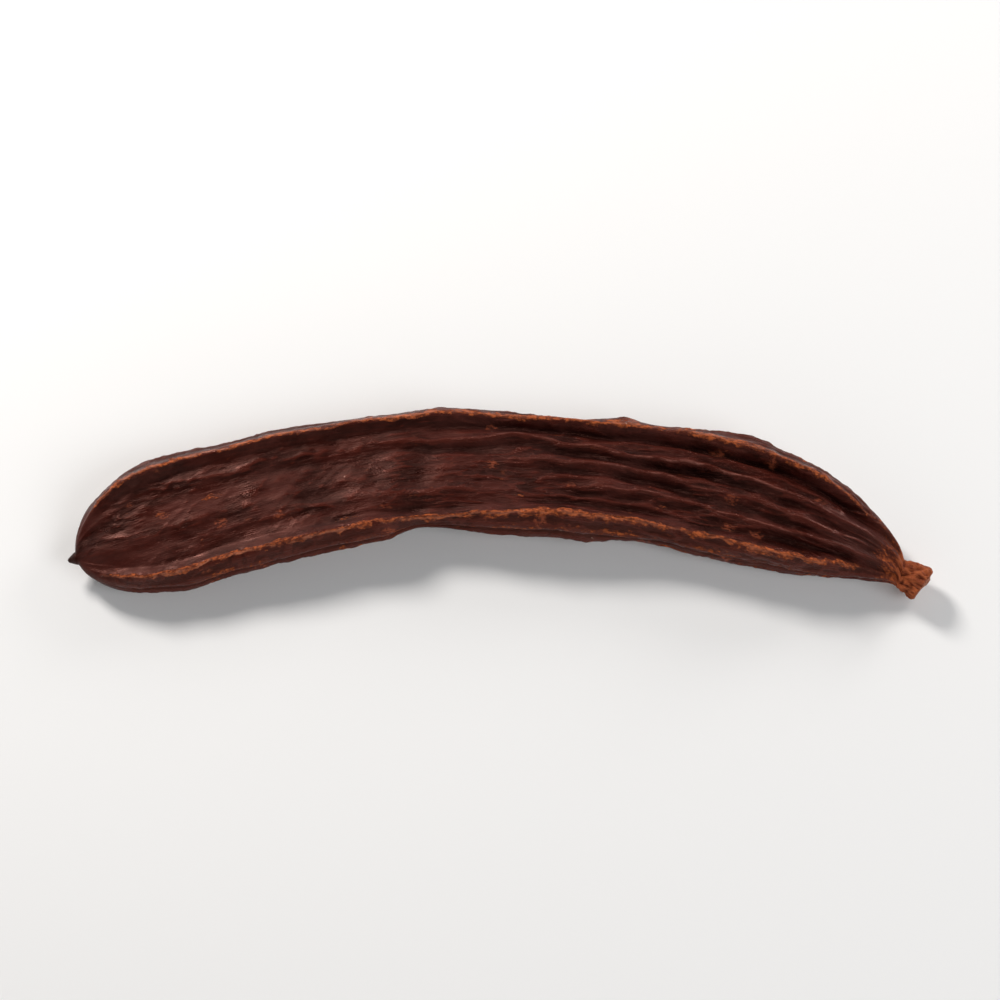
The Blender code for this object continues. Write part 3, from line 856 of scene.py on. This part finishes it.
skinLook = {
    "colours": {
        "dark": (0.0110, 0.0022, 0.0016, 1.0),
        "red": (0.0340, 0.0055, 0.0036, 1.0),
        "side": (0.0410, 0.0088, 0.0052, 1.0),  # the skin on the outside of the margins
        # painted highlight on the ridges and the thin lines, partly wear of the skin
        "ridge": (0.0800, 0.0160, 0.0105, 1.0),
        # painted shade in the broad hollows, and the beak's own near-black
        "paintedShadeAndBeak": (0.0062, 0.0013, 0.0010, 1.0),
        "bloom": (0.0660, 0.0160, 0.0125, 1.0),  # the dull film on some of the skin
        "foldHighlight": (0.230, 0.0860, 0.0660, 1.0),  # painted highlight along the crests of the folds
        "rustDark": (0.105, 0.0230, 0.0100, 1.0),  # the corky skin of the rims
        "rustBright": (0.400, 0.0930, 0.0270, 1.0),
        "rimHighlight": (0.430, 0.1500, 0.0850, 1.0),  # painted highlight along the thin edge of the rims
        "fleck": (0.230, 0.0540, 0.0250, 1.0),
        "dust": (0.300, 0.1900, 0.1500, 1.0),
        "woodDark": (0.140, 0.0290, 0.0120, 1.0),  # the stalk
        "wood": (0.340, 0.0860, 0.0300, 1.0),
        "scar": (0.330, 0.1250, 0.0620, 1.0),
    },
    # how much of a colour covers what is below it
    "covers": {
        "side": 0.55,
        "ridge": 0.65,
        "paintedShadeAndBeak": 0.75,
        "bloom": 0.42,
        "foldHighlight": 0.80,
        "fleck": 0.85,
        "dust": 0.75,
    },
    "rimHighlightCover": (0.60, -0.30),  # in the beak half, and what the stalk half adds
    # noise: its size along the pod, across it and up in millimetres, detail, roughness, distortion
    "patterns": {
        "patches": ((9.0, 4.5, 4.5), 5.0, 0.6, 0.0),
        "streaks": ((8.0, 0.6, 0.6), 5.0, 0.6, 0.0),
        "lines": ((5.0, 0.75, 0.75), 3.0, 0.5, 0.35),
        "threads": ((3.4, 0.45, 0.45), 3.0, 0.5, 0.35),
        "bloom": ((13.0, 6.0, 6.0), 6.0, 0.65, 0.0),
        "breaks": ((3.2, 1.6, 1.6), 5.0, 0.55, 0.0),
        "wobble": ((2.6, 1.3, 1.3), 4.0, 0.55, 0.0),
        "worn": ((9.0, 3.6, 3.6), 4.0, 0.55, 0.0),
        "rustGrain": ((0.95, 0.45, 0.45), 5.0, 0.7, 0.0),
        "rustPatch": ((11.0, 6.0, 6.0), 3.0, 0.55, 0.0),
        "rustSpots": ((1.0, 0.45, 0.45), 5.0, 0.7, 0.0),
        "fibre": ((4.0, 0.55, 0.55), 5.0, 0.65, 0.0),
        "pith": ((0.9, 0.5, 0.5), 4.0, 0.7, 0.0),
        "sheen": ((4.0, 1.6, 1.6), 4.0, 0.55, 0.0),
        "pores": ((0.6, 0.35, 0.35), 3.0, 0.55, 0.0),
    },
    # the values at which a mask begins and at which it is full
    "steps": {
        "tone": (0.40, 0.60),
        "side": (-0.05, -0.45),
        "lines": (0.05, 0.0),
        "threads": (0.07, 0.0),
        "ridge": (-0.01, -0.07),
        "paintedShadeAndBeak": (0.05, 0.45),
        "bloom": (0.47, 0.66),
        "breaks": (0.42, 0.56),
        "foldHighlight": (0.30, 0.85),
        "seam": (0.22, 0.04),
        "worn": (0.62, 0.70),
        "rustEnds": (0.05, 0.60),
        "rust": (0.80, 0.96),
        "rustZone": (0.05, 0.35),
        "rustSpots": (0.44, 0.60),
        "rimHighlight": (0.30, 0.05),
        "fleckGrain": (0.44, 0.56),
        "fibre": (0.32, 0.64),
        "barkShade": (0.0, 0.09),
        "pith": (0.38, 0.58),
        "stalk": (0.25, 0.75),
        "sheen": (0.3, 0.7),
    },
    # the skin's own colour
    "patchShare": 0.68,  # of the tone, and the rest is streaks
    "streakShare": 0.32,
    "smoothHalf": 0.22,  # how wrinkled the beak half is, and what the stalk half adds
    "wrinkledHalf": 0.78,
    # share of the thin lines in the painted highlight on the ridges
    "lineHighlightShare": 0.35,
    # rust, in millimetres from the crest of a rim, or in shares of the way to the seam
    "rustHalfWidth": (0.80, 0.60),  # in the beak half, and what the stalk half adds
    "rustCore": 0.20,
    "crestWobble": 3.2,
    "seamAt": 0.60,
    "seamWobble": 0.7,
    "rimHighlightAt": 0.25,
    "rimHighlightWobble": 1.4,
    "rustShares": {"seam": 0.7, "sideWash": 0.35, "worn": 0.70, "foot": 0.75},
    "rustMix": (0.36, 0.62, 0.55),  # weight of the zone, of the patches and of the grain
    # flecks and dust: size of their cells, radius in a cell, share of the cells with one
    "flecks": ((5.4, 3.2, 3.2), 0.34, 0.20),
    "dust": ((3.6, 3.0, 3.0), 0.075, 0.16),
    "raggedSize": (1.1, 0.8, 0.8),
    "raggedPush": (2.4, 1.5, 1.5),
    "barkWobble": 1.6,
    # gloss
    "gloss": 0.33,
    "glossTint": (1.0, 0.41, 0.32, 1.0),
    "roughness": 0.34,
    "sheenSpread": (-0.07, 0.16),
    "polish": 0.12,  # how much smoother the ridges are
    "bloomRoughness": 0.30,
    "sideRoughness": 0.16,
    "rustRoughness": 0.72,
    # fine relief, in shares of the bump's height
    "bump": 0.55,
    "bumpHeight": 0.25,  # in millimetres
    "heights": {"threads": 0.32, "lines": 0.42, "pores": 0.20, "rustGrain": 1.6},
}

podMasks = ("crestPlace", "seamPlace", "foldCrest", "body", "stalkHalf", "foot", "stalk", "scar",
            "beak", "hollowFine", "hollowBroad")


def times(tree, first, second):
    return calc(tree, "MULTIPLY", first, second)


def plusTimes(tree, value, factor, base):
    return calc(tree, "MULTIPLY_ADD", value, factor, base)


def most(tree, first, second):
    return calc(tree, "MAXIMUM", first, second)


def pattern(tree, skin, name):
    return noiseTexture(tree, skin["place"], *skinLook["patterns"][name])


def stepped(tree, value, name):
    return ranged(tree, value, *skinLook["steps"][name])


def covered(tree, colour, mask, name):
    factor = times(tree, mask, skinLook["covers"][name])
    return blended(tree, factor, colour, skinLook["colours"][name])


def thinLines(tree, skin, name):
    # 1 on thin wandering lines that run along the pod, 0 between them
    fromMiddle = calc(tree, "SUBTRACT", pattern(tree, skin, name), 0.5)
    return stepped(tree, calc(tree, "ABSOLUTE", fromMiddle), name)


def specks(tree, vector, size, radius, share):
    # ragged spots, one in each chosen cell
    look = skinLook
    noiseSockets = {"Vector": scaled(tree, vector, look["raggedSize"]), "Scale": 1.0}
    push = makeNode(tree, "TexNoise", noiseSockets).outputs["Color"]
    sockets = {0: push, 1: look["raggedPush"], 2: vector}
    ragged = makeNode(tree, "VectorMath", sockets, operation="MULTIPLY_ADD").outputs[0]
    cells = makeNode(tree, "TexVoronoi", {"Vector": scaled(tree, ragged, size), "Scale": 1.0})
    chance = makeNode(tree, "SeparateColor", {0: cells.outputs["Color"]}).outputs[0]
    spot = ranged(tree, cells.outputs["Distance"], radius, radius * 0.5)
    return times(tree, spot, ranged(tree, chance, 1.0 - share, 1.02 - share))


def readSkin(tree):
    # the masks on the pod, and the patterns that several parts of the finish share
    look = skinLook
    skin = {name: attribute(tree, name).outputs["Fac"] for name in podMasks}
    skin["place"] = attribute(tree, "podPlace").outputs["Vector"]
    skin["sideWash"] = times(tree, stepped(tree, skin["seamPlace"], "side"), skin["body"])
    wrinkled = plusTimes(tree, skin["stalkHalf"], look["wrinkledHalf"], look["smoothHalf"])
    skin["wrinkled"] = most(tree, wrinkled, skin["sideWash"])
    skin["lines"] = times(tree, thinLines(tree, skin, "lines"), skin["wrinkled"])
    skin["ridge"] = stepped(tree, skin["hollowFine"], "ridge")
    bloom = stepped(tree, pattern(tree, skin, "bloom"), "bloom")
    skin["bloom"] = times(tree, bloom, look["covers"]["bloom"])
    skin["breaks"] = stepped(tree, pattern(tree, skin, "breaks"), "breaks")
    skin["wobble"] = calc(tree, "SUBTRACT", pattern(tree, skin, "wobble"), 0.5)
    skin["rustGrain"] = pattern(tree, skin, "rustGrain")
    return skin


def plainSkin(tree, skin):
    # patches and lengthwise streaks, browner outside the margins, a painted highlight on the ridges
    # and thin lines (partly wear), painted shade in the broad hollows, a dull film in places and a
    # painted highlight along the crests of the folds
    look, colours = skinLook, skinLook["colours"]
    streaks = times(tree, pattern(tree, skin, "streaks"), look["streakShare"])
    tone = plusTimes(tree, pattern(tree, skin, "patches"), look["patchShare"], streaks)
    colour = blended(tree, stepped(tree, tone, "tone"), colours["dark"], colours["red"])
    colour = covered(tree, colour, skin["sideWash"], "side")
    # painted highlight on the ridges and the thin lines, partly wear
    ridgeHighlight = calc(tree, "MULTIPLY_ADD", skin["lines"], look["lineHighlightShare"], skin["ridge"], clamp=True)
    colour = covered(tree, colour, ridgeHighlight, "ridge")
    # painted shade in the broad hollows
    colour = covered(tree, colour, stepped(tree, skin["hollowBroad"], "paintedShadeAndBeak"), "paintedShadeAndBeak")
    colour = blended(tree, skin["bloom"], colour, colours["bloom"])
    # painted highlight along the crests of the folds
    foldHighlight = times(tree, stepped(tree, skin["foldCrest"], "foldHighlight"), skin["breaks"])
    return covered(tree, colour, foldHighlight, "foldHighlight")


def rustZone(tree, skin):
    # along the crests of the rims, beside the seam, round the foot of the stalk and in a few
    # worn places
    look, shares = skinLook, skinLook["rustShares"]
    narrow, wider = look["rustHalfWidth"]
    fromCrest = plusTimes(tree, skin["wobble"], look["crestWobble"], skin["crestPlace"])
    width = plusTimes(tree, skin["stalkHalf"], wider, narrow)
    crest = ranged(tree, calc(tree, "ABSOLUTE", fromCrest), width, look["rustCore"])
    fromSeam = calc(tree, "ADD", skin["seamPlace"], look["seamAt"])
    fromSeam = plusTimes(tree, skin["wobble"], look["seamWobble"], fromSeam)
    seam = stepped(tree, calc(tree, "ABSOLUTE", fromSeam), "seam")
    worn = stepped(tree, pattern(tree, skin, "worn"), "worn")
    zone = most(tree, crest, times(tree, seam, shares["seam"]))
    zone = most(tree, zone, times(tree, skin["sideWash"], shares["sideWash"]))
    zone = most(tree, zone, times(tree, worn, shares["worn"]))
    zone = times(tree, zone, stepped(tree, skin["body"], "rustEnds"))
    return most(tree, zone, times(tree, skin["foot"], shares["foot"]))


def rustCover(tree, skin):
    # 1 where the corky skin is, which is thickest in its zone and broken up by its grain
    ofZone, ofPatch, ofGrain = skinLook["rustMix"]
    zone = rustZone(tree, skin)
    gate = plusTimes(tree, zone, ofZone, times(tree, pattern(tree, skin, "rustPatch"), ofPatch))
    rust = stepped(tree, plusTimes(tree, skin["rustGrain"], ofGrain, gate), "rust")
    return times(tree, rust, stepped(tree, zone, "rustZone"))


def rustAndRimHighlight(tree, skin, colour):
    # the corky skin, and a painted highlight along the thin edge of the rims
    look, colours = skinLook, skinLook["colours"]
    spots = stepped(tree, pattern(tree, skin, "rustSpots"), "rustSpots")
    rustColour = blended(tree, spots, colours["rustDark"], colours["rustBright"])
    colour = blended(tree, skin["rust"], colour, rustColour)
    # a painted highlight along the thin edge of the rims
    fromRimHighlight = calc(tree, "ADD", skin["crestPlace"], look["rimHighlightAt"])
    fromRimHighlight = plusTimes(tree, skin["wobble"], look["rimHighlightWobble"], fromRimHighlight)
    edge = stepped(tree, calc(tree, "ABSOLUTE", fromRimHighlight), "rimHighlight")
    edge = times(tree, times(tree, edge, skin["body"]), skin["breaks"])
    beakHalf, added = look["rimHighlightCover"]
    edge = times(tree, edge, plusTimes(tree, skin["stalkHalf"], added, beakHalf))
    return blended(tree, edge, colour, colours["rimHighlight"])


def flecked(tree, skin, colour):
    flecks = specks(tree, skin["place"], *skinLook["flecks"])
    flecks = times(tree, flecks, stepped(tree, skin["rustGrain"], "fleckGrain"))
    colour = covered(tree, colour, flecks, "fleck")
    return covered(tree, colour, specks(tree, skin["place"], *skinLook["dust"]), "dust")


def stalkAndBeak(tree, skin, colour):
    # the fibres of the stalk with painted shade in its narrow hollows, the pith of its broken end,
    # and the dark beak
    colours = skinLook["colours"]
    fibre = stepped(tree, pattern(tree, skin, "fibre"), "fibre")
    wood = blended(tree, fibre, colours["woodDark"], colours["wood"])
    # painted shade in the bark's narrow hollows
    paintedShadeAndBeak = stepped(tree, skin["hollowFine"], "barkShade")
    wood = blended(tree, paintedShadeAndBeak, wood, colours["woodDark"])
    pith = stepped(tree, pattern(tree, skin, "pith"), "pith")
    broken = blended(tree, pith, colours["woodDark"], colours["scar"])
    wood = blended(tree, skin["scar"], wood, broken)
    edge = plusTimes(tree, skin["wobble"], skinLook["barkWobble"], skin["stalk"])
    colour = blended(tree, stepped(tree, edge, "stalk"), colour, wood)
    # the beak's own near-black, the same colour as the painted shade in the hollows
    return blended(tree, skin["beak"], colour, colours["paintedShadeAndBeak"])


def skinRoughness(tree, skin):
    look = skinLook
    smooth, rough = (look["roughness"] + spread for spread in look["sheenSpread"])
    low, high = look["steps"]["sheen"]
    roughness = ranged(tree, pattern(tree, skin, "sheen"), low, high, smooth, rough)
    roughness = plusTimes(tree, skin["ridge"], -look["polish"], roughness)
    roughness = plusTimes(tree, skin["bloom"], look["bloomRoughness"], roughness)
    roughness = plusTimes(tree, skin["sideWash"], look["sideRoughness"], roughness)
    extra = look["rustRoughness"] - look["roughness"]
    return plusTimes(tree, most(tree, skin["rust"], skin["stalk"]), extra, roughness)


def skinHeight(tree, skin):
    # threads, lines and pores, and the grain of the corky skin
    heights = skinLook["heights"]
    threads = times(tree, thinLines(tree, skin, "threads"), skin["wrinkled"])
    lines = times(tree, skin["lines"], heights["lines"])
    height = plusTimes(tree, threads, heights["threads"], lines)
    height = plusTimes(tree, pattern(tree, skin, "pores"), heights["pores"], height)
    corky = most(tree, most(tree, skin["rust"], skin["stalk"]), skin["foot"])
    grain = times(tree, skin["rustGrain"], corky)
    return plusTimes(tree, grain, heights["rustGrain"], height)


def skinMaterial():
    look = skinLook
    material, tree, shader = newMaterial("podSkin")
    skin = readSkin(tree)
    skin["rust"] = rustCover(tree, skin)
    colour = rustAndRimHighlight(tree, skin, plainSkin(tree, skin))
    colour = stalkAndBeak(tree, skin, flecked(tree, skin, colour))
    sockets = {"Strength": look["bump"], "Distance": look["bumpHeight"] * mm}
    sockets["Height"] = skinHeight(tree, skin)
    bump = makeNode(tree, "Bump", sockets)
    tree.links.new(colour, shader.inputs["Base Color"])
    tree.links.new(skinRoughness(tree, skin), shader.inputs["Roughness"])
    tree.links.new(bump.outputs[0], shader.inputs["Normal"])
    shader.inputs["Specular IOR Level"].default_value = look["gloss"]
    shader.inputs["Specular Tint"].default_value = look["glossTint"]
    print("skin: %d nodes" % len(tree.nodes))
    return material


pod = makePod()
pod.data.materials.append(skinMaterial())
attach(pod, "root")
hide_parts("carob_pod")


# Floor and light

stageLook = {
    "floorSize": 2.4,
    "floorColour": (0.86, 0.86, 0.86, 1.0),
    "wallStrength": 0.95,  # the pale room near the horizon
    "ceilingStrength": 0.06,
}

# name: place in metres from the pod's middle, size, power in watts, colour
lamps = {
    "keyLamp": ((-0.36, 0.44, 0.44), 0.20, 4.6, (1.0, 0.96, 0.92)),
    "fillLamp": ((0.50, -0.30, 0.50), 0.50, 2.0, (0.96, 0.98, 1.0)),
    "edgeLamp": ((0.46, 0.44, 0.22), 0.24, 1.4, (1.0, 0.98, 0.96)),
}


def makeFloor():
    bpy.ops.mesh.primitive_plane_add(size=stageLook["floorSize"])
    floor = bpy.context.object
    floor.name = "paleFloor"
    floor.location = (podCentre.x, podCentre.y, podLow.z)
    material, tree, shader = newMaterial("paleFloor")
    shader.inputs["Base Color"].default_value = stageLook["floorColour"]
    shader.inputs["Roughness"].default_value = 0.7
    floor.data.materials.append(material)


def makeLamps():
    for name, (place, size, power, colour) in lamps.items():
        data = bpy.data.lights.new(name, "AREA")
        data.shape = "DISK"
        data.size = size
        data.energy = power
        data.color = colour
        lamp = bpy.data.objects.new(name, data)
        bpy.context.scene.collection.objects.link(lamp)
        aim(lamp, podCentre + Vector(place), podCentre)
    bpy.context.scene.view_settings.view_transform = "Standard"
    print("light: %d lamps" % len(lamps))


def makeRoom():
    # bright walls and a dark ceiling, so that the skin's gloss shows on its wrinkles only
    world = bpy.data.worlds.new("paleRoom")
    world.use_nodes = True
    tree = world.node_tree
    way = makeNode(tree, "TexCoord").outputs["Generated"]
    height = makeNode(tree, "SeparateXYZ", {0: way}).outputs["Z"]
    light = (stageLook["wallStrength"], stageLook["ceilingStrength"])
    background = tree.nodes["Background"]
    background.inputs["Color"].default_value = (1.0, 1.0, 1.0, 1.0)
    tree.links.new(ranged(tree, height, 0.15, 0.75, *light), background.inputs["Strength"])
    bpy.context.scene.world = world


makeFloor()
makeLamps()
makeRoom()
